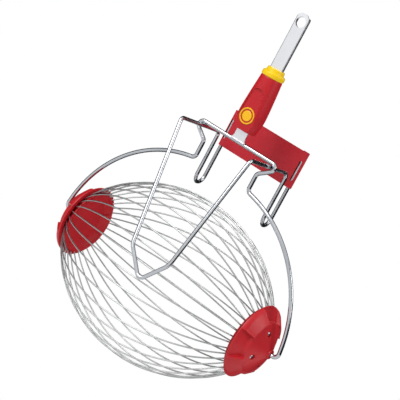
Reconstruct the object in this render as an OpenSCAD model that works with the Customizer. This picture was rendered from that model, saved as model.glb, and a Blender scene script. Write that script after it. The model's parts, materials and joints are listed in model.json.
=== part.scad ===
// Roller nut gatherer head for a click-on handle, with a clip-on emptying aid.
// A barrel of thin spring wires turns in a bent-wire bow; nuts are pressed in between the wires.
// Frame: origin on the handle seat, +Z toward the handle, +X along the roller's axle, -Y the front.

/* [Roller basket] */
// Radius of the basket at its middle, to the wire centres
basket_r = 147.5; // [144:0.5:150]
// Radius of the arc of every basket wire
wire_arc_r = 240; // [237:0.5:246]
// Diameter of a basket wire
wire_d = 2.4; // [1.8:0.1:2.6]
// Distance from the middle of the basket to each hub's rim
hub_x = 182; // [178:0.5:184]

/* [Hubs] */
// Angle taken up by one raised pad of a hub cap
pad_angle = 46; // [40:1:60]
// Radius of the circle of hub screws
screw_circle_r = 31; // [24:0.5:32]
// Diameter of a hub screw's shank
screw_d = 3.5; // [3:0.1:4]

/* [Bow] */
// Diameter of the bow wire
bow_d = 7; // [6:0.1:7.4]
// Height of the crossbar above the roller's axle
crossbar_h = 258; // [255:0.5:262]
// Half the width of the neck below the crossbar
neck_x = 57.5; // [55:0.5:59]
// Half the distance between the two eyes at the ends of the crossbar
eye_x = 73; // [71:0.5:75]
// Distance from the middle to the outside arm of the bow at the axle
arm_x = 242.5; // [239:0.5:246]

/* [Handle end] */
// Width of the steel tongue
tongue_w = 24.5; // [20:0.5:26]
// Depth of the folded tongue
tongue_depth = 8; // [7:0.5:9]
// Sheet thickness of the tongue
tongue_t = 2.2; // [1.6:0.1:2.6]
// Length of the tongue above the handle seat
tongue_len = 98; // [82:1:110]
// Diameter of the latch hole in the tongue
latch_d = 18; // [10:0.5:19]
// Height of the bare strap between the crossbar and the socket
strap_h = 17; // [8:0.5:20]
// Length of the red socket
socket_len = 95.5; // [92:0.5:118]
// Largest radius of the socket
socket_r = 23.3; // [21.5:0.1:24.5]
// Height of the yellow collar
collar_h = 16; // [14:0.5:20]
// Outside diameter of the badge ring
badge_d = 27.6; // [24:0.2:28]
// Distance from the top of the socket's flat to the middle of the badge
badge_drop = 48; // [40:0.5:56]

/* [Emptying aid] */
// Diameter of the aid's wire
aid_d = 6.5; // [5.5:0.1:6.6]
// Distance from the bow to the aid's front corners
aid_front = 70; // [64:1:74]
// Distance from the bow to the front legs of the hooks
hook_y = 59; // [54:1:62]
// Distance between the two legs of each hook
hook_gap = 31; // [26:1:36]
// Height of the hooks' bottoms above the roller's axle
hook_low = 151.5; // [146:0.5:154]
// Distance that the rear legs stand outside the eyes
hook_out = 2; // [0.5:0.5:4]
// Distance that the front leg of the right hook stands outside its eye
hook_turn = 4; // [1:0.5:5]
// Sideways offset of the aid's nose
nose_x = 43; // [36:1:46]
// Width of the red plate
plate_h = 66; // [60:1:69]
// Sheet thickness of the red plate
plate_t = 1.8; // [1:0.1:2.2]

/* [Hidden] */
$fn = 48;
// Running clearance between the axle ends and the hub bores
axle_gap = 0.08;
// Clearance between loosely fitted pieces of one body
loose_gap = 0.15;
// A bend is thicker than its straight lengths by this much, and they run this far into it
bend_swell = 0.04;
bend_lap = 0.4;
wire_count = 36;
wire_step = 360 / wire_count;
wire_phase = 6.3;
pad_count = 4;
pad_mid = 46;
screw_count = 4;
screw_angle = 68;
red = [0.72, 0.08, 0.12];
steel = [0.78, 0.80, 0.82];
yellow = [0.93, 0.76, 0.06];

// Heights above the axle
socket_z0 = crossbar_h + bow_d / 2 + strap_h;
socket_z1 = socket_z0 + socket_len;
seat_h = socket_z1 + collar_h;

// Hub stations along the axle and wire radii there. Where one arc would close the wires too far for the
// hub's screws, a straight length in the middle of each wire keeps the hub's size.
wire_in = 16;
screw_edge = 32.9;
arc_rim_r = basket_r - wire_arc_r + sqrt(max(0, wire_arc_r * wire_arc_r - hub_x * hub_x));
rim_wire_r = max(arc_rim_r, screw_circle_r + screw_edge);
fall_r = basket_r - rim_wire_r;
arc_x = sqrt(2 * wire_arc_r * fall_r - fall_r * fall_r);
straight_x = arc_rim_r < rim_wire_r ? hub_x - arc_x : 0;
function wire_r(x) = basket_r - wire_arc_r + sqrt(pow(wire_arc_r, 2) - pow(x - straight_x, 2));
end_wire_r = wire_r(hub_x + wire_in);
rim_r = rim_wire_r + 1.7;
skirt_r = rim_wire_r - 0.6;
plate_edge_r = rim_wire_r - 7;
boss_r = end_wire_r + 2;
nose_r = 8;
tube_r = 8.5;
nose_t = hub_x + 48;
lip_t = hub_x + 7;
screw_seat_t = hub_x + 31;
axle_r = bow_d / 2;
bore_r = axle_r + axle_gap;
tube_t = hub_x + 14;

function wire_name(i) = str("basket_wire_", i < 10 ? "0" : "", i);
function unit(v) = v / norm(v);

// Moves a piece from the axle's height to the frame with its origin on the handle seat
module framed() {
    translate([0, 0, -seat_h]) children();
}

// Straight round rod between two points
module rod(p, q, d) {
    w = q - p;
    translate(p) rotate([0, acos(w.z / norm(w)), atan2(w.y, w.x)]) cylinder(d = d, h = norm(w));
}

// Round bend of a rod at corner q, coming from p and leaving to r
module bend(p, q, r, radius, d) {
    u = unit(q - p);
    v = unit(r - q);
    turn = acos(u * v);
    start = q - u * radius * tan(turn / 2);
    m = unit(v - u * (u * v));
    n = unit(cross(u, v));
    a = atan2(n.y, n.x);
    b = acos(n.z);
    e = -m;
    f = [e.x * cos(a) + e.y * sin(a), -e.x * sin(a) + e.y * cos(a), e.z];
    g = [f.x * cos(b) - f.z * sin(b), f.y];
    translate(start + m * radius) rotate([0, b, a]) rotate([0, 0, atan2(g.y, g.x)])
        rotate_extrude(angle = turn) translate([radius, 0]) circle(d = d + 2 * bend_swell);
}

// Largest bend radius at corner q that leaves a spare length on both sides
function bend_fit(p, q, r, spare) =
    (min(norm(q - p), norm(r - q)) - spare) / tan(acos(unit(q - p) * unit(r - q)) / 2);

// Length taken off each side of a corner by its bend
function bend_cut(p, q, r, radius) = radius * tan(acos(unit(q - p) * unit(r - q)) / 2);

// Bent wire through a list of corners, with one bend radius per corner
module bent_wire(pts, radii, d) {
    last = len(pts) - 1;
    cuts = [for (i = [0:last]) i == 0 || i == last ? 0 : bend_cut(pts[i - 1], pts[i], pts[i + 1], radii[i])];
    for (i = [0:last - 1]) {
        u = unit(pts[i + 1] - pts[i]);
        start = i == 0 ? 0 : cuts[i] - bend_lap;
        stop = i == last - 1 ? 0 : cuts[i + 1] - bend_lap;
        rod(pts[i] + u * start, pts[i + 1] - u * stop, d);
    }
    for (i = [1:last - 1]) {
        bend(pts[i - 1], pts[i], pts[i + 1], radii[i], d);
    }
}

// Rounded rectangle in the plane
module round_box(w, h, r) {
    translate([-w / 2 + r, -h / 2]) square([w - 2 * r, h]);
    translate([-w / 2, -h / 2 + r]) square([w, h - 2 * r]);
    for (x = [-1, 1]) {
        for (y = [-1, 1]) {
            translate([x * (w / 2 - r), y * (h / 2 - r)]) circle(r);
        }
    }
}

// Handle end

tongue_front = -tongue_depth / 2;
tongue_base = crossbar_h + bow_d / 2 - 0.9;
strap_w = tongue_w - 2;
strap_foot = 4;
latch_edge = 6;

module tongue_section() {
    difference() {
        round_box(tongue_w, tongue_depth, 2.6);
        translate([-tongue_w / 2 + tongue_t, tongue_front + tongue_t])
            square([tongue_w - 2 * tongue_t, tongue_depth]);
    }
}

module tongue_outline() {
    top = seat_h + tongue_len;
    corner = tongue_w / 2 - 1;
    translate([-tongue_w / 2, socket_z0 + 4]) square([tongue_w, top - corner - socket_z0 - 4]);
    translate([-strap_w / 2, tongue_base]) square([strap_w, socket_z0 + 5 - tongue_base]);
    // Weld at the strap's foot, flaring out along the crossbar
    for (s = [-1, 1]) {
        translate([s * strap_w / 2, tongue_base]) polygon([
            [-s * 2, 0], [s * strap_foot, 0], [s * strap_foot * 0.3, strap_foot * 0.6],
            [0, strap_foot * 1.6], [-s * 2, strap_foot * 1.6]
        ]);
    }
    translate([-tongue_w / 2 + corner, top - corner - 1]) square([tongue_w - 2 * corner, corner + 1]);
    for (x = [-1, 1]) {
        translate([x * (tongue_w / 2 - corner), top - corner]) circle(corner);
    }
}

module tongue() {
    hole_z = seat_h + tongue_len - latch_d / 2 - latch_edge;
    web_y = tongue_front + tongue_t;
    color(steel) framed() difference() {
        union() {
            intersection() {
                union() {
                    translate([0, 0, socket_z0 + 4]) linear_extrude(seat_h + tongue_len - socket_z0 - 4)
                        tongue_section();
                    translate([-tongue_w, tongue_front, tongue_base])
                        cube([2 * tongue_w, tongue_t, socket_z0 + 5 - tongue_base]);
                }
                rotate([90, 0, 0]) linear_extrude(4 * tongue_depth, center = true) tongue_outline();
            }
            translate([0, web_y + 2.6, hole_z]) rotate([90, 0, 0]) cylinder(d = latch_d + 2.4, h = 3.2);
        }
        translate([0, 0, hole_z]) rotate([90, 0, 0]) cylinder(d = latch_d, h = 60, center = true);
        translate([0, 0, crossbar_h]) rotate([0, 90, 0])
            cylinder(r = axle_r + 0.02, h = 4 * tongue_w, center = true);
    }
}

module collar() {
    z0 = socket_z1;
    neck_r = tongue_w / 2 + 2.8;
    color(yellow) framed() difference() {
        rotate_extrude() polygon([
            [0, z0], [18.6, z0], [19.7, z0 + 1.5], [19.9, z0 + collar_h * 0.45], [18.4, z0 + collar_h * 0.55],
            [neck_r + 0.6, z0 + collar_h * 0.6], [neck_r, z0 + collar_h - 1.2], [neck_r - 0.9, z0 + collar_h],
            [0, z0 + collar_h]
        ]);
        translate([0, 0, z0 - 1]) linear_extrude(collar_h + 2)
            round_box(tongue_w + 2 * loose_gap, tongue_depth + 2 * loose_gap, 2.6 + loose_gap);
    }
}

// Barrel radius of the socket at a height share from bottom (0) to top (1), widest at its belly
belly = 0.32;
function socket_rad(s) = s < belly
    ? socket_r - 4.5 * pow(1 - s / belly, 2.2)
    : socket_r - 4.6 * pow((s - belly) / (1 - belly), 1.25);

flat_tilt = 2.9;
flat_z = socket_z1 - 23;
flat_y = -(socket_r - 6.1);

// Puts children on the flat front of the socket: x across, y up along the flat, z outward
module on_flat(drop) {
    translate([0, flat_y, flat_z]) rotate([90 + flat_tilt, 0, 0]) translate([0, -drop, 0]) children();
}

module socket() {
    steps = 22;
    color(red) framed() difference() {
        rotate_extrude() polygon(concat(
            [[0, socket_z0]],
            [for (i = [0:steps]) [socket_rad(i / steps), socket_z0 + socket_len * i / steps]],
            [[0, socket_z1]]
        ));
        on_flat(0) linear_extrude(30) {
            translate([0, -11.5]) circle(11.5);
            polygon([[-11.5, -11.5], [-23, -socket_len], [23, -socket_len], [11.5, -11.5]]);
        }
        translate([0, 0, socket_z0 - 1]) linear_extrude(socket_len + 2)
            round_box(tongue_w + 2 * loose_gap, tongue_depth + 2 * loose_gap, 2.6 + loose_gap);
    }
}

module badge_ring() {
    color(yellow) framed() on_flat(badge_drop) rotate_extrude()
        polygon([
            [badge_d / 2 - 2.6, 0], [badge_d / 2, 0], [badge_d / 2, 0.8],
            [badge_d / 2 - 0.7, 1.5], [badge_d / 2 - 1.9, 1.5], [badge_d / 2 - 2.6, 0.8]
        ]);
}

module badge_disc() {
    color(yellow) framed() on_flat(badge_drop) rotate_extrude()
        polygon([[0, 0], [badge_d / 2 - 5, 0], [badge_d / 2 - 5, 0.7], [badge_d / 2 - 6, 1.2], [0, 1.2]]);
}

// Bow

eye_bend = bow_d / 2 + aid_d / 2 + 0.85;
eye_z = crossbar_h - eye_bend;
flare_angle = 35;
axle_bend = 8;
neck_bend = 8.5;

// Height of the neck's lower corners above the axle
neck_h = crossbar_h - 60.3;

// Right half of the bow's centre line, from the axle tip to the end of the crossbar
function bow_half() =
    let (
        turn = 180 - flare_angle,
        reach = eye_bend * tan(turn / 2),
        corner_x = eye_x + reach,
        drop = (corner_x - neck_x) * tan(flare_angle)
    ) [
        [tube_t + 3, 0, 0],
        [arm_x, 0, 0],
        [arm_x - 24, 0, neck_h - 29.8],
        [neck_x, 0, neck_h],
        [neck_x, 0, crossbar_h - drop],
        [corner_x, 0, crossbar_h]
    ];

module bow_wire() {
    half = bow_half();
    left = [for (i = [len(half) - 1:-1:0]) [-half[i].x, half[i].y, half[i].z]];
    arch_bend = bend_fit(half[1], half[2], half[3], 9.5);
    radii = [0, axle_bend, arch_bend, neck_bend, neck_bend, eye_bend];
    both = concat(radii, [for (i = [len(radii) - 1:-1:0]) radii[i]]);
    color(steel) framed() bent_wire(concat(half, left), both, bow_d);
}

// Hubs, drawn with the axle upright and then laid along +X

module along_axle() {
    rotate([0, 90, 0]) children();
}

// Turns children to an angle counted from +Z toward +Y
module at_angle(angle) {
    rotate([0, 0, 180 - angle]) children();
}

module hub_dome() {
    rotate_extrude() polygon([
        [0, tube_t], [rim_r, lip_t], [rim_r, lip_t + 2.3], [boss_r + 1, hub_x + 23.5],
        [boss_r, hub_x + 25], [boss_r, hub_x + 28], [nose_r + 1, nose_t - 3], [0, nose_t - 3]
    ]);
}

module hub_cap() {
    difference() {
        union() {
            rotate_extrude() polygon([
                [rim_r, lip_t], [rim_r, lip_t + 2.3], [boss_r + 1, hub_x + 23.5],
                [boss_r, hub_x + 25], [boss_r, hub_x + 28], [nose_r + 1, nose_t - 3],
                [nose_r, nose_t - 3], [nose_r, nose_t], [bore_r, nose_t], [bore_r, tube_t],
                [tube_r, tube_t], [tube_r, hub_x + 43.5], [boss_r - 4, hub_x + 24.6],
                [end_wire_r + 0.8, hub_x + 18.8], [skirt_r, lip_t + 1.4], [skirt_r, lip_t]
            ]);
            for (i = [0:pad_count - 1]) {
                at_angle(pad_mid + i * 360 / pad_count + pad_angle / 2) rotate_extrude(angle = pad_angle) polygon([
                    [rim_r - 0.9, lip_t + 1], [rim_r - 0.9, hub_x + 12], [rim_r - 2.6, hub_x + 14.5],
                    [boss_r + 2.6, hub_x + 31], [boss_r + 0.6, hub_x + 31], [boss_r + 0.6, hub_x + 22.5]
                ]);
            }
            intersection() {
                hub_dome();
                for (i = [0:screw_count - 1]) {
                    at_angle(screw_angle + i * 360 / screw_count) translate([screw_circle_r, 0, hub_x + 17])
                        cylinder(r = 6, h = 40);
                }
            }
        }
        for (i = [0:screw_count - 1]) {
            at_angle(screw_angle + i * 360 / screw_count) translate([screw_circle_r, 0, 0]) {
                translate([0, 0, hub_x + 10]) cylinder(d = screw_d + 2 * loose_gap, h = 60);
                translate([0, 0, screw_seat_t]) cylinder(r = 4.6, h = 60);
            }
        }
    }
}

module hub_plate() {
    difference() {
        union() {
            rotate_extrude() polygon([
                [0, hub_x + 10.6], [end_wire_r - 5, hub_x + 10.6], [plate_edge_r, hub_x + 0.2],
                [plate_edge_r, hub_x + 2.4], [end_wire_r + 6, hub_x + 9], [end_wire_r + 6, hub_x + 14.2],
                [end_wire_r + 0.9, hub_x + 18.2], [end_wire_r - 4, hub_x + 18.2], [end_wire_r - 4, hub_x + 13.6],
                [0, hub_x + 13.6]
            ]);
            for (i = [0:screw_count - 1]) {
                at_angle(screw_angle + i * 360 / screw_count) translate([screw_circle_r, 0, hub_x + 12])
                    cylinder(r = 5.4, h = 5);
            }
        }
        for (i = [0:screw_count - 1]) {
            at_angle(screw_angle + i * 360 / screw_count) translate([screw_circle_r, 0, hub_x])
                cylinder(d = screw_d + loose_gap, h = 30);
        }
        for (i = [1:wire_count]) {
            at_angle(wire_phase + i * wire_step) wire_socket();
        }
    }
}

// Straight hole in the hub plate that takes the end of one basket wire
module wire_socket() {
    x1 = hub_x + 10;
    x2 = hub_x + wire_in + 0.3;
    rod([wire_r(x1), 0, x1], [wire_r(x2), 0, x2], wire_d + 2 * loose_gap);
}

module hub_screws() {
    for (i = [0:screw_count - 1]) {
        at_angle(screw_angle + i * 360 / screw_count) translate([screw_circle_r, 0, 0]) difference() {
            union() {
                translate([0, 0, hub_x + 9.6]) cylinder(d = screw_d, h = screw_seat_t - hub_x - 9);
                translate([0, 0, screw_seat_t]) rotate_extrude()
                    polygon([[0, 0], [4, 0], [4, 1.5], [3.1, 2.5], [0, 2.9]]);
            }
            for (a = [0, 90]) {
                rotate([0, 0, a]) translate([0, 0, screw_seat_t + 2.9]) cube([4.6, 1, 3.2], center = true);
            }
        }
    }
}

// Basket wires

// Arc of a basket wire over a sweep, in the plane y = 0
module wire_arc(start, sweep) {
    translate([0, 0, basket_r - wire_arc_r]) rotate([90, 0, 0]) rotate([0, 0, start])
        rotate_extrude(angle = sweep) translate([wire_arc_r, 0]) circle(d = wire_d);
}

module basket_wire(i) {
    sweep = asin((hub_x + wire_in - straight_x) / wire_arc_r);
    color(steel) framed() rotate([-(wire_phase + i * wire_step), 0, 0]) {
        if (straight_x > 0) {
            translate([straight_x, 0, 0]) wire_arc(90 - sweep, sweep);
            translate([-straight_x, 0, 0]) wire_arc(90, sweep);
            middle = [straight_x + bend_lap, 0, 0];
            top = [0, 0, basket_r];
            rod(top - middle, top + middle, wire_d + 2 * bend_swell);
        } else {
            wire_arc(90 - sweep, 2 * sweep);
        }
    }
}

// Emptying aid

rear_y = hook_y + hook_gap;
plate_z0 = crossbar_h - 33.4;
aid_rise = 3.3;
nose_y = basket_r + 6;
leg_x = eye_x + hook_out;
// The right shoulder runs straight through its eye to here and then out to its hook
turn_y = hook_y - 14;

// Height of the aid's shoulders, which slope a little through the eyes
function shoulder_z(y) = eye_z - aid_rise * y / aid_front;

// Centre line of the aid's wire, from the left wire end in the plate to the right one
aid_points = [
    [-leg_x, rear_y, plate_z0 + plate_h - 6],
    [-leg_x, rear_y, hook_low],
    [-eye_x, hook_y, hook_low],
    [-eye_x, hook_y, shoulder_z(hook_y)],
    [-eye_x, -aid_front, shoulder_z(-aid_front)],
    [nose_x - 43, -nose_y + 7, 58],
    [nose_x, -nose_y, 19],
    [nose_x + 28, -nose_y + 13.5, 61],
    [eye_x, -aid_front, shoulder_z(-aid_front)],
    [eye_x, turn_y, shoulder_z(turn_y)],
    [eye_x + hook_turn, hook_y, shoulder_z(hook_y)],
    [eye_x + hook_turn, hook_y, hook_low],
    [leg_x, rear_y, hook_low],
    [leg_x, rear_y, plate_z0 + plate_h - 6]
];
hook_bend = hook_gap / 2 - 1;
aid_radii = [0, hook_bend, hook_bend, 9, 9, 26, 9, 26, 9, 12, 9, hook_bend, hook_bend, 0];

module aid_wire() {
    color(steel) framed() bent_wire(aid_points, aid_radii, aid_d);
}

module aid_plate() {
    grip_r = aid_d / 2 + loose_gap;
    front = grip_r + plate_t;
    slot_w = 5;
    slot_h = 32;
    color(red) framed() difference() {
        translate([0, rear_y, plate_z0]) linear_extrude(plate_h) {
            translate([-leg_x, -front]) square([2 * leg_x, plate_t]);
            for (s = [-1, 1]) {
                translate([s * leg_x, 0]) difference() {
                    circle(front);
                    circle(grip_r);
                    translate([s > 0 ? -40 : 0, -20]) square([40, 40]);
                }
                translate([s > 0 ? leg_x - 9 : -leg_x, grip_r]) square([9, plate_t]);
            }
        }
        for (s = [-1, 1]) {
            translate([s * leg_x, rear_y - front - 1, plate_z0 + 15]) {
                translate([-slot_w / 2, 0, 0]) cube([slot_w, front - 0.8, slot_h]);
                for (z = [0, slot_h]) {
                    translate([0, 0, z]) rotate([-90, 0, 0]) cylinder(d = slot_w, h = front - 0.8);
                }
            }
        }
    }
}

tongue();
collar();
socket();
badge_ring();
badge_disc();
bow_wire();
color(red) framed() mirror([1, 0, 0]) along_axle() hub_cap();  // left_hub_cap
color(red) framed() along_axle() hub_cap();  // right_hub_cap
color(red) framed() mirror([1, 0, 0]) along_axle() hub_plate();  // left_hub_plate
color(red) framed() along_axle() hub_plate();  // right_hub_plate
color(steel) framed() mirror([1, 0, 0]) along_axle() hub_screws();  // left_hub_screws
color(steel) framed() along_axle() hub_screws();  // right_hub_screws
aid_wire();
aid_plate();
for (i = [1:wire_count]) {
    basket_wire(i);
}
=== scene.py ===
"""Looks of the roller nut gatherer: finishes, rounded hubs and socket, studio and camera."""
import json
import math

import bmesh
import bpy
from mathutils import Matrix, Vector


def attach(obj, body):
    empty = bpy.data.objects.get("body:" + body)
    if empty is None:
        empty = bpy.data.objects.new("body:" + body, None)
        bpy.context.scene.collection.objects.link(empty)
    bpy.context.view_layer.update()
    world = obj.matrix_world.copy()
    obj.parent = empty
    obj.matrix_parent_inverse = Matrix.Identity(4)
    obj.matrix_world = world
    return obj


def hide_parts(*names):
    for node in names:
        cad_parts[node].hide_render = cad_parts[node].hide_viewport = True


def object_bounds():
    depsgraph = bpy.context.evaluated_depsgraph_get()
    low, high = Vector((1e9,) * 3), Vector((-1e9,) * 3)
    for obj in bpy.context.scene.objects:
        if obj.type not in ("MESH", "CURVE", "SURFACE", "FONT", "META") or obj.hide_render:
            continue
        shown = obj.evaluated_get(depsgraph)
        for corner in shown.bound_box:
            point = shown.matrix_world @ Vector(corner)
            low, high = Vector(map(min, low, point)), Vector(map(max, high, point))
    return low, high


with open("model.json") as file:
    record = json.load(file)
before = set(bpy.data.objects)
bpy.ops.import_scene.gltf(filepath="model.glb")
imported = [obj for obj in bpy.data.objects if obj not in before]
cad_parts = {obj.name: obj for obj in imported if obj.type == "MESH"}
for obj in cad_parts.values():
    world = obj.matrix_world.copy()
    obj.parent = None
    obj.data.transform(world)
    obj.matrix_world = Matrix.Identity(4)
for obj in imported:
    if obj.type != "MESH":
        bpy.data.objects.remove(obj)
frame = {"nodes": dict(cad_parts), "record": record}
CAD_BOX = [list(corner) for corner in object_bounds()]
NODES = frame["nodes"]
MM = 0.001

# View of the photograph: a square frame seen by a long lens from the front right, with the head turned
# clockwise in the picture
IMAGE_PX = 400
SENSOR_MM = 36.0
FOCAL_PX = 1174.8
VIEW_AZIMUTH = math.radians(28.77)
VIEW_ELEVATION = math.radians(10.543)
VIEW_ROLL = math.radians(28.048)
EYE = Vector((0.8992, -1.6589, 0.1053))
MIDDLE = Vector((0.0, 0.0, -0.25))

# Sizes in millimetres, as in the CAD part where not said otherwise; heights are counted from the handle seat

# Hubs: radii, and stations along the axle; the cap's rim flange reaches further in than the CAD skirt
AXLE_Z = -390.0
HUB_X = 182.0
LIP_T = HUB_X + 7.0
RIM_R = 65.65
FLANGE_R = 57.8
BOSS_R = 45.13
WIRE_END_R = 43.13
PLATE_EDGE_R = 56.95
NOSE_R = 8.0
NOSE_T = HUB_X + 48.0
BORE_R = 3.58
TUBE_R = 8.5
TUBE_T = HUB_X + 14.0

# Pads of the hubs, in degrees: middles, half width, half width of the side slopes, and the bead along the
# sides, whose rise is a share of the pad's height
PAD_MIDS = [46.0 + 90.0 * i for i in range(4)]
PAD_HALF = 23.0
PAD_EDGE = 1.0
BEAD_RISE = 0.09
BEAD_IN = 1.4
BEAD_HALF = 1.3

# Screws of the hubs and the length of the cut above their seats
SCREW_ANGLES = [68.0 + 90.0 * i for i in range(4)]
SCREW_CIRCLE_R = 31.0
SCREW_SEAT_T = HUB_X + 31.0
SCREW_SEAT_R = 4.6
SEAT_CUT = 20.0

# Socket, the arched flat on its front, and the collar
SOCKET_Z0 = -111.5
SOCKET_LEN = 95.5
SOCKET_R = 23.3
BELLY = 0.32
FOOT_TAPER = 4.5
TOP_TAPER = 4.6
FLAT_TILT = math.radians(2.9)
FLAT_Z = SOCKET_Z0 + SOCKET_LEN - 23.0
FLAT_Y = -(SOCKET_R - 6.1)
ARCH_R = 11.5
ARCH_FOOT = 23.0
ARCH_EASE = 0.7
COLLAR_H = 16.0

# Tongue, and the weld at the foot of its strap
TONGUE_W = 24.5
STRAP_W = TONGUE_W - 2.0
CROSSBAR_Z = -132.0
WELD_R = 1.25

# Studio: drop of the floor below the object in metres
FLOOR_DROP = 0.30
WHITE = (1.0, 1.0, 1.0, 1.0)

# Scales of the surface noise per metre, the plastic's gloss and the depth of its skin in metres
CLOUD_SCALE = 22.0
DRIFT_SCALE = 24.0
SCUFF_SCALE = 120.0
DRAWN_GRAIN = 300.0
PLASTIC_GLOSS = 0.34
SKIN_DEPTH = 0.00006


# Materials


def new_material(name):
    """A node material with one Principled shader; returns the material, its nodes, links and shader."""
    material = bpy.data.materials.new(name)
    material.use_nodes = True
    tree = material.node_tree
    shader = next(n for n in tree.nodes if n.type == "BSDF_PRINCIPLED")
    return material, tree.nodes, tree.links, shader


def noise(nodes, links, coords, scale, detail=3.0, stretch=(1.0, 1.0, 1.0)):
    """Noise over the object's own coordinates, stretched along the row axes."""
    mapping = nodes.new("ShaderNodeMapping")
    mapping.inputs["Scale"].default_value = stretch
    texture = nodes.new("ShaderNodeTexNoise")
    texture.inputs["Scale"].default_value = scale
    texture.inputs["Detail"].default_value = detail
    links.new(coords.outputs["Object"], mapping.inputs["Vector"])
    links.new(mapping.outputs["Vector"], texture.inputs["Vector"])
    return texture.outputs["Fac"]


def ramp(nodes, links, fac, low, high, start=0.3, stop=0.7):
    """Two-colour ramp over a factor."""
    node = nodes.new("ShaderNodeValToRGB")
    node.color_ramp.elements[0].position = start
    node.color_ramp.elements[0].color = (*low, 1.0)
    node.color_ramp.elements[1].position = stop
    node.color_ramp.elements[1].color = (*high, 1.0)
    links.new(fac, node.inputs["Fac"])
    return node.outputs["Color"]


def spread(nodes, links, fac, low, high):
    """Maps a factor of 0 to 1 onto a range of values."""
    node = nodes.new("ShaderNodeMapRange")
    node.inputs["To Min"].default_value = low
    node.inputs["To Max"].default_value = high
    links.new(fac, node.inputs["Value"])
    return node.outputs["Result"]


def bump(nodes, links, shader, height, depth, strength):
    """Surface relief of the given depth in metres."""
    node = nodes.new("ShaderNodeBump")
    node.inputs["Distance"].default_value = depth
    node.inputs["Strength"].default_value = strength
    links.new(height, node.inputs["Height"])
    links.new(node.outputs["Normal"], shader.inputs["Normal"])


def metal(name, low, high, rough, grain_scale, stretch=(1.0, 1.0, 1.0)):
    """Bright plated metal with faint cloudy tarnish and fine drawing marks."""
    material, nodes, links, shader = new_material(name)
    coords = nodes.new("ShaderNodeTexCoord")
    cloud = noise(nodes, links, coords, CLOUD_SCALE)
    grain = noise(nodes, links, coords, grain_scale, 2.0, stretch)
    links.new(ramp(nodes, links, cloud, low, high), shader.inputs["Base Color"])
    links.new(spread(nodes, links, grain, *rough), shader.inputs["Roughness"])
    shader.inputs["Metallic"].default_value = 1.0
    return material


def moulded(name, low, high, rough, texture_scale=300.0, relief=0.03):
    """Glossy moulded plastic or paint with slight colour drift and a fine skin."""
    material, nodes, links, shader = new_material(name)
    coords = nodes.new("ShaderNodeTexCoord")
    drift = noise(nodes, links, coords, DRIFT_SCALE)
    skin = noise(nodes, links, coords, texture_scale, 2.0)
    scuff = noise(nodes, links, coords, SCUFF_SCALE, 6.0)
    links.new(ramp(nodes, links, drift, low, high), shader.inputs["Base Color"])
    links.new(spread(nodes, links, scuff, *rough), shader.inputs["Roughness"])
    shader.inputs["Specular IOR Level"].default_value = PLASTIC_GLOSS
    bump(nodes, links, shader, skin, SKIN_DEPTH, relief)
    return material


FINISHES = {
    "plated_wire": metal("plated wire", (0.43, 0.45, 0.48), (0.51, 0.53, 0.56), (0.12, 0.18), DRAWN_GRAIN),
    "spring_wire": metal("spring wire", (0.42, 0.43, 0.43), (0.52, 0.53, 0.53), (0.32, 0.40), DRAWN_GRAIN),
    "bright_steel": metal(
        "bright sheet", (0.68, 0.69, 0.72), (0.74, 0.75, 0.78), (0.30, 0.36), DRAWN_GRAIN, (1.0, 1.0, 0.05)
    ),
    "screw_steel": metal("screw steel", (0.60, 0.60, 0.62), (0.70, 0.70, 0.72), (0.2, 0.3), 900.0),
    "red_plastic": moulded("red plastic", (0.46, 0.007, 0.013), (0.52, 0.010, 0.017), (0.34, 0.42)),
    "red_paint": moulded("red paint", (0.44, 0.010, 0.020), (0.50, 0.013, 0.024), (0.36, 0.44), 260.0, 0.04),
    "yellow_plastic": moulded("yellow plastic", (0.84, 0.53, 0.002), (0.90, 0.60, 0.004), (0.28, 0.36)),
    "badge_plastic": moulded("badge plastic", (0.86, 0.44, 0.006), (0.92, 0.52, 0.010), (0.25, 0.34)),
}


def dress_nodes():
    """Gives every CAD node the finish of its material slot."""
    for entry in frame["record"]["subparts"]:
        obj = NODES[entry["node"]]
        obj.data.materials.clear()
        obj.data.materials.append(FINISHES[entry["material_slot"]])


# Shaped pieces


def add_piece(name, verts, faces, slot, body, *nodes):
    """Closed mesh given in millimetres, dressed, riding on a body and standing for CAD nodes."""
    mesh = bpy.data.meshes.new(name)
    mesh.from_pydata([Vector(v) * MM for v in verts], [], faces)
    soften(mesh)
    obj = bpy.data.objects.new(name, mesh)
    bpy.context.scene.collection.objects.link(obj)
    mesh.materials.append(FINISHES[slot])
    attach(obj, body)
    if nodes:
        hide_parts(*nodes)
    return obj


def soften(mesh, sharp_degrees=50.0):
    """Joins doubled points, turns faces outward and shades smoothly up to a sharp angle."""
    work = bmesh.new()
    work.from_mesh(mesh)
    bmesh.ops.remove_doubles(work, verts=work.verts, dist=0.000002)
    bmesh.ops.recalc_face_normals(work, faces=work.faces)
    work.to_mesh(mesh)
    work.free()
    mesh.shade_smooth()
    mesh.set_sharp_from_angle(angle=math.radians(sharp_degrees))


def rounded(points, reach, steps=4, closed=True):
    """Profile whose corners become short curves that start a given reach away from each corner."""
    out = []
    count = len(points)
    for i, corner in enumerate(points):
        if not closed and i in (0, count - 1):
            out.append(corner)
            continue
        here = Vector(corner)
        before = Vector(points[i - 1]) - here
        after = Vector(points[(i + 1) % count]) - here
        start = here + before.normalized() * min(reach[i], 0.45 * before.length)
        stop = here + after.normalized() * min(reach[i], 0.45 * after.length)
        for k in range(steps + 1):
            t = k / steps
            out.append(tuple(start * (1 - t) ** 2 + here * (2 * t * (1 - t)) + stop * t * t))
    return out


def mixed(first, second, share):
    """Profile part way between two profiles with as many points."""
    return [(a[0] + (b[0] - a[0]) * share, a[1] + (b[1] - a[1]) * share) for a, b in zip(first, second)]


def ease(value):
    """Smooth step from 0 to 1."""
    value = min(1.0, max(0.0, value))
    return value * value * (3.0 - 2.0 * value)


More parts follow.
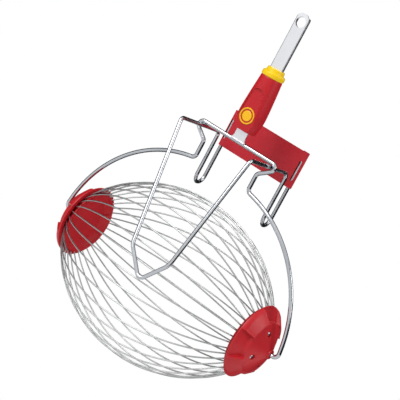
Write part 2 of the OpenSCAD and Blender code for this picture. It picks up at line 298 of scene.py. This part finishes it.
def pad_share(angle):
    """1 on a pad of the hub, 0 between pads, with a short slope and a fine bead at its sides."""
    share = 0.0
    for middle in PAD_MIDS:
        off = abs((angle - middle + 180.0) % 360.0 - 180.0)
        bead = BEAD_RISE * ease(1.0 - abs(off - PAD_HALF + BEAD_IN) / BEAD_HALF)
        share = max(share, ease((PAD_HALF + PAD_EDGE - off) / (2.0 * PAD_EDGE)) + bead)
    return share


def hub_angles():
    """Angles round the hub in degrees, close together at the sides of the pads."""
    angles = {round(2.5 * i, 3) for i in range(144)}
    for middle in PAD_MIDS:
        for side in (-PAD_HALF, PAD_HALF):
            angles |= {round((middle + side + PAD_EDGE * k / 4) % 360.0, 3) for k in range(-12, 13)}
    return sorted(angles)


def grid_faces(count, wide, wrap_rows=False, wrap_wide=False):
    """Four-sided faces between neighbouring rows of points, joined end to end where asked."""
    faces = []
    for i in range(count if wrap_rows else count - 1):
        k = (i + 1) % count
        for j in range(wide if wrap_wide else wide - 1):
            m = (j + 1) % wide
            faces.append((i * wide + j, i * wide + m, k * wide + m, k * wide + j))
    return faces


def flat_list(rows):
    """All points of all rows, in order."""
    return [point for row in rows for point in row]


def end_faces(count, wide):
    """Faces that close the first and the last of a number of rings."""
    return [tuple(range(wide)), tuple(range((count - 1) * wide, count * wide))]


def turned(loop_at, angles, place, closed=True):
    """Points and faces of profiles set round an axis, one profile for each angle."""
    rows = [[place(r, t, angle) for r, t in loop_at(angle)] for angle in angles]
    return flat_list(rows), grid_faces(len(rows), len(rows[0]), True, closed)


def on_axle(side):
    """Places a radius, a station along the axle and an angle from +Z toward +Y on the left or right."""
    def place(r, t, angle):
        a = math.radians(angle)
        return (side * t, r * math.sin(a), AXLE_Z + r * math.cos(a))
    return place


def on_handle(r, z, angle):
    """Places a radius, a height and an angle about the handle's axis."""
    a = math.radians(angle)
    return (r * math.sin(a), -r * math.cos(a), z)


def hub_cap_loops():
    """Cap profile between the pads and through a pad, in radius and station."""
    h = HUB_X
    head = [(RIM_R, LIP_T), (RIM_R, LIP_T + 2.3)]
    tail = [
        (NOSE_R + 1, NOSE_T - 3), (NOSE_R, NOSE_T - 3), (NOSE_R, NOSE_T), (BORE_R, NOSE_T), (BORE_R, TUBE_T),
        (TUBE_R, TUBE_T), (TUBE_R, h + 43.5), (BOSS_R - 4, h + 24.6), (WIRE_END_R + 0.8, h + 18.8),
        (FLANGE_R, LIP_T + 1.2), (FLANGE_R, LIP_T),
    ]
    flank = [
        (RIM_R - 0.9, h + 9.5), (RIM_R - 2.6, h + 10.3), (BOSS_R + 2.6, h + 20.4), (BOSS_R + 1, h + 21.4),
    ]
    step = [(BOSS_R + 0.2, h + 25.0), (BOSS_R, h + 28.0)]
    pad = [
        (RIM_R - 1.2, h + 13.2), (RIM_R - 3.2, h + 16.0), (BOSS_R + 3.6, h + 28.4), (BOSS_R + 1.2, h + 29.8),
    ]
    pad_step = [(BOSS_R + 0.3, h + 28.8), (BOSS_R, h + 28.0)]
    reach = [0.7, 0.6, 0.8, 0.8, 0.8, 0.6, 0.9, 1.2, 0.6, 0.4, 0.6, 0.3] + [0.4] * 7
    return rounded(head + flank + step + tail, reach), rounded(head + pad + pad_step + tail, reach)


def hub_plate_loops():
    """Dish profile between the pads and behind a pad, from the axle round the edge and back."""
    h = HUB_X
    back = [
        (PLATE_EDGE_R, h + 0.2), (PLATE_EDGE_R, h + 2.4),
        (WIRE_END_R + 6, h + 9.0), (WIRE_END_R + 6, h + 14.2),
        (WIRE_END_R + 0.9, h + 18.2), (WIRE_END_R - 4, h + 18.2),
        (WIRE_END_R - 4, h + 13.6), (0.0, h + 13.6),
    ]
    middle = [(0.0, h + 9.2), (WIRE_END_R - 5, h + 9.2)]
    flank = [(40.4, h + 8.3), (41.6, h + 7.7), (53.4, h + 2.0), (54.6, h + 1.4)]
    panel = [(40.2, h + 8.6), (41.2, h + 10.6), (53.0, h + 4.8), (54.6, h + 1.5)]
    reach = [0.0, 1.5, 0.8, 0.8, 0.8, 0.8] + [0.5] * 7 + [0.0]
    return rounded(middle + flank + back, reach, 3, False), rounded(middle + panel + back, reach, 3, False)


def cut_screw_seats(cap, side):
    """Cuts the round seats of the screws into the face of a hub cap."""
    place = on_axle(side)
    work = bmesh.new()
    for angle in SCREW_ANGLES:
        centre = Vector(place(SCREW_CIRCLE_R, SCREW_SEAT_T + SEAT_CUT / 2, angle)) * MM
        matrix = Matrix.Translation(centre) @ Matrix.Rotation(math.radians(90.0), 4, "Y")
        bmesh.ops.create_cone(
            work, cap_ends=True, segments=40, radius1=SCREW_SEAT_R * MM, radius2=SCREW_SEAT_R * MM,
            depth=SEAT_CUT * MM, matrix=matrix,
        )
    cut_away(cap, work)


def cut_away(obj, work):
    """Takes a closed cutting mesh out of an object's mesh."""
    cutter_mesh = bpy.data.meshes.new("cutter")
    work.to_mesh(cutter_mesh)
    work.free()
    cutter = bpy.data.objects.new("cutter", cutter_mesh)
    bpy.context.scene.collection.objects.link(cutter)
    change = obj.modifiers.new("cut", "BOOLEAN")
    change.operation = "DIFFERENCE"
    change.solver = "EXACT"
    change.object = cutter
    graph = bpy.context.evaluated_depsgraph_get()
    result = bpy.data.meshes.new_from_object(obj.evaluated_get(graph))
    obj.modifiers.remove(change)
    obj.data = result
    bpy.data.objects.remove(cutter)
    soften(result, 35.0)


def make_hubs():
    """Caps with rounded pads and screw seats, and dished plates, at both ends of the roller."""
    cap, cap_pad = hub_cap_loops()
    dish, dish_pad = hub_plate_loops()
    angles = hub_angles()
    for side, word in ((-1, "left"), (1, "right")):
        place = on_axle(side)
        verts, faces = turned(lambda a: mixed(cap, cap_pad, pad_share(a)), angles, place)
        obj = add_piece(f"{word}_hub_cap_shape", verts, faces, "red_plastic", "basket", f"{word}_hub_cap")
        cut_screw_seats(obj, side)
        verts, faces = turned(lambda a: mixed(dish, dish_pad, pad_share(a)), angles, place, False)
        add_piece(f"{word}_hub_plate_shape", verts, faces, "red_plastic", "basket", f"{word}_hub_plate")


def socket_rad(s):
    """Barrel radius of the socket at a height share from its bottom to its top."""
    if s < BELLY:
        return SOCKET_R - FOOT_TAPER * (1.0 - s / BELLY) ** 2.2
    return SOCKET_R - TOP_TAPER * ((s - BELLY) / (1.0 - BELLY)) ** 1.25


def arch_depth(x, z):
    """How far a point of the socket's front lies inside the arched flat, in millimetres."""
    drop = (FLAT_Z - z) / math.cos(FLAT_TILT)
    if drop < ARCH_R:
        return ARCH_R - math.hypot(x, ARCH_R - drop)
    return ARCH_R + (ARCH_FOOT - ARCH_R) * (drop - ARCH_R) / (SOCKET_LEN - ARCH_R) - abs(x)


def socket_point(angle, s, inset):
    """Point of the socket's skin, with the arched flat let into its front and an inset at the ends."""
    z = SOCKET_Z0 + SOCKET_LEN * s
    x, y, z = on_handle(socket_rad(s), z, angle)
    flat = FLAT_Y + (FLAT_Z - z) * math.tan(FLAT_TILT)
    if y < flat:
        y += (flat - y) * ease(arch_depth(x, z) / ARCH_EASE)
    share = 1.0 - inset / math.hypot(x, y)
    return (x * share, y * share, z)


def make_socket():
    """Smooth barrel with its arched flat and eased ends."""
    stations = [0.0, 0.004, 0.010] + [0.018 + 0.012 * i for i in range(81)] + [0.984, 0.994, 1.0]
    insets = {0: 1.0, 1: 0.35, 2: 0.08, len(stations) - 2: 0.15, len(stations) - 1: 0.7}
    ring = [-180.0 + 2.0 * i for i in range(180)]
    rows = [[socket_point(a, s, insets.get(i, 0.0)) for a in ring] for i, s in enumerate(stations)]
    faces = grid_faces(len(rows), len(ring), False, True) + end_faces(len(rows), len(ring))
    add_piece("socket_shape", flat_list(rows), faces, "red_plastic", "frame", "socket")


def make_collar():
    """Turned collar with rounded steps."""
    z = SOCKET_Z0 + SOCKET_LEN
    top = z + COLLAR_H
    neck = TONGUE_W / 2 + 2.8
    points = [
        (0.0, z), (18.6, z), (19.7, z + 1.5), (19.9, z + COLLAR_H * 0.45), (18.4, z + COLLAR_H * 0.55),
        (neck + 0.6, z + COLLAR_H * 0.6), (neck, top - 1.2), (neck - 0.9, top), (0.0, top),
    ]
    loop = rounded(points, [0.0, 0.7, 0.8, 1.0, 1.0, 1.0, 0.8, 0.6, 0.0], 3, False)
    verts, faces = turned(lambda a: loop, [3.0 * i for i in range(120)], on_handle, False)
    add_piece("collar_shape", verts, faces, "yellow_plastic", "frame", "collar")


def weld_ring(u, half, y, lift, sides=10):
    """Ring of points across a weld bead at a share of its length; the bead swells and ripples along it."""
    swell = WELD_R * (1.0 - (2.0 * u - 1.0) ** 6) * (1.0 + 0.10 * math.sin(u * 60.0)) + 0.05
    turns = [2 * math.pi * k / sides for k in range(sides)]
    x = -half + 2 * half * u
    return [(x, y + swell * math.cos(a), CROSSBAR_Z + lift + swell * math.sin(a)) for a in turns]


def make_weld():
    """Weld beads that join the foot of the strap to the crossbar."""
    half = STRAP_W / 2 + 3.0
    last = 34
    for name, y, lift in (("weld_front", -4.3, 2.0), ("weld_rear", -1.2, 3.1)):
        rows = [weld_ring(i / last, half, y, lift) for i in range(last + 1)]
        faces = grid_faces(len(rows), len(rows[0]), False, True) + end_faces(len(rows), len(rows[0]))
        add_piece(name, flat_list(rows), faces, "bright_steel", "frame")


# Studio


def shown_white(nodes, links, lit, output):
    """White to the camera and in reflections, and the given lit shader to every other ray."""
    path = nodes.new("ShaderNodeLightPath")
    glow = nodes.new("ShaderNodeEmission" if output.type == "OUTPUT_MATERIAL" else "ShaderNodeBackground")
    glow.inputs["Color"].default_value = WHITE
    glow.inputs["Strength"].default_value = 1.0
    seen = path.outputs["Is Camera Ray"]
    for ray in ("Is Glossy Ray", "Is Transmission Ray"):
        either = nodes.new("ShaderNodeMath")
        either.operation = "MAXIMUM"
        links.new(seen, either.inputs[0])
        links.new(path.outputs[ray], either.inputs[1])
        seen = either.outputs[0]
    mix = nodes.new("ShaderNodeMixShader")
    links.new(seen, mix.inputs["Fac"])
    links.new(lit.outputs[0], mix.inputs[1])
    links.new(glow.outputs[0], mix.inputs[2])
    links.new(mix.outputs[0], output.inputs["Surface"])


def make_world():
    """Even studio light that looks white to the camera."""
    world = bpy.data.worlds.new("studio")
    world.use_nodes = True
    nodes, links = world.node_tree.nodes, world.node_tree.links
    lit = next(n for n in nodes if n.type == "BACKGROUND")
    lit.inputs["Color"].default_value = (0.95, 0.97, 1.0, 1.0)
    lit.inputs["Strength"].default_value = 0.45
    output = next(n for n in nodes if n.type == "OUTPUT_WORLD")
    shown_white(nodes, links, lit, output)
    bpy.context.scene.world = world


def add_stage_mesh(name, verts, faces, material):
    """Mesh of the studio, not of the object."""
    mesh = bpy.data.meshes.new(name)
    mesh.from_pydata(verts, [], faces)
    mesh.materials.append(material)
    obj = bpy.data.objects.new(name, mesh)
    bpy.context.scene.collection.objects.link(obj)
    return obj


def make_floor(drop, side=6.0):
    """Wide pale floor below the hanging head."""
    z = CAD_BOX[0][2] - drop
    material, nodes, links, shader = new_material("pale floor")
    shader.inputs["Base Color"].default_value = (0.9, 0.9, 0.9, 1.0)
    shader.inputs["Roughness"].default_value = 0.9
    shown_white(nodes, links, shader, next(n for n in nodes if n.type == "OUTPUT_MATERIAL"))
    corners = [(-side, -side, z), (side, -side, z), (side, side, z), (-side, side, z)]
    add_stage_mesh("floor", corners, [(0, 1, 2, 3)], material)


def view_axes():
    """Directions of the picture: to its right, up in it, and from the object to the camera."""
    away = Vector((
        math.sin(VIEW_AZIMUTH) * math.cos(VIEW_ELEVATION),
        -math.cos(VIEW_AZIMUTH) * math.cos(VIEW_ELEVATION),
        math.sin(VIEW_ELEVATION),
    ))
    right = Vector((math.cos(VIEW_AZIMUTH), math.sin(VIEW_AZIMUTH), 0.0))
    up = away.cross(right)
    turned_right = right * math.cos(VIEW_ROLL) + up * math.sin(VIEW_ROLL)
    turned_up = up * math.cos(VIEW_ROLL) - right * math.sin(VIEW_ROLL)
    return turned_right, turned_up, away


def make_flag(name, near, far, start, stop, distance=2.4):
    """Dark studio flag on a sphere round the object, seen in reflections only.

    near and far are its angles from the camera's direction, start and stop its angles round that direction,
    counted from the picture's right toward its top.
    """
    right, up, away = view_axes()
    rows, columns = 8, max(2, int(abs(stop - start) / 6))
    verts = []
    for i in range(rows + 1):
        tilt = math.radians(near + (far - near) * i / rows)
        for j in range(columns + 1):
            turn = math.radians(start + (stop - start) * j / columns)
            side = right * math.cos(turn) + up * math.sin(turn)
            verts.append(MIDDLE + (away * math.cos(tilt) + side * math.sin(tilt)) * distance)
    material, _, _, shader = new_material(name)
    shader.inputs["Base Color"].default_value = (0.02, 0.02, 0.022, 1.0)
    shader.inputs["Roughness"].default_value = 1.0
    shader.inputs["Specular IOR Level"].default_value = 0.0
    flag = add_stage_mesh(name, verts, grid_faces(rows + 1, columns + 1), material)
    flag.visible_camera = False
    flag.visible_diffuse = False
    flag.visible_shadow = False
    flag.visible_transmission = False


def area_light(name, place, target, size, power):
    """Soft square lamp aimed at a point."""
    lamp = bpy.data.lights.new(name, "AREA")
    lamp.size = size
    lamp.energy = power
    obj = bpy.data.objects.new(name, lamp)
    obj.location = place
    obj.rotation_euler = (target - place).to_track_quat("-Z", "Y").to_euler()
    bpy.context.scene.collection.objects.link(obj)


def make_lights():
    """Large key lamp from the upper left of the picture, a fill from the right and a rim from behind."""
    area_light("key", Vector((-0.9, -1.9, 1.7)), MIDDLE, 1.6, 58.0)
    area_light("fill", Vector((2.2, 0.2, 1.0)), MIDDLE, 1.3, 20.0)
    area_light("rim", Vector((0.4, 2.2, 1.2)), MIDDLE, 1.2, 16.0)


def make_camera():
    """Camera at the photograph's viewing angle, rolled as the head is turned in the picture."""
    data = bpy.data.cameras.new("camera")
    data.sensor_width = SENSOR_MM
    data.sensor_fit = "HORIZONTAL"
    data.lens = FOCAL_PX * SENSOR_MM / IMAGE_PX
    camera = bpy.data.objects.new("camera", data)
    axes = Matrix(view_axes()).transposed()
    camera.matrix_world = Matrix.Translation(EYE) @ axes.to_4x4()
    bpy.context.scene.collection.objects.link(camera)
    bpy.context.scene.camera = camera


dress_nodes()
make_hubs()
make_socket()
make_collar()
make_weld()
make_world()
make_floor(FLOOR_DROP)
make_flag("edge flag", 94.0, 176.0, -180.0, 180.0)
make_flag("side flag", 22.0, 94.0, -100.0, -24.0)
make_flag("leg flag", 58.0, 94.0, -24.0, -6.0)
make_flag("arm flag", 22.0, 58.0, -6.0, 28.0)
make_flag("low flag", 94.0, 165.0, -150.0, -30.0, 0.57)
make_lights()
make_camera()
bpy.context.scene.view_settings.view_transform = "Standard"
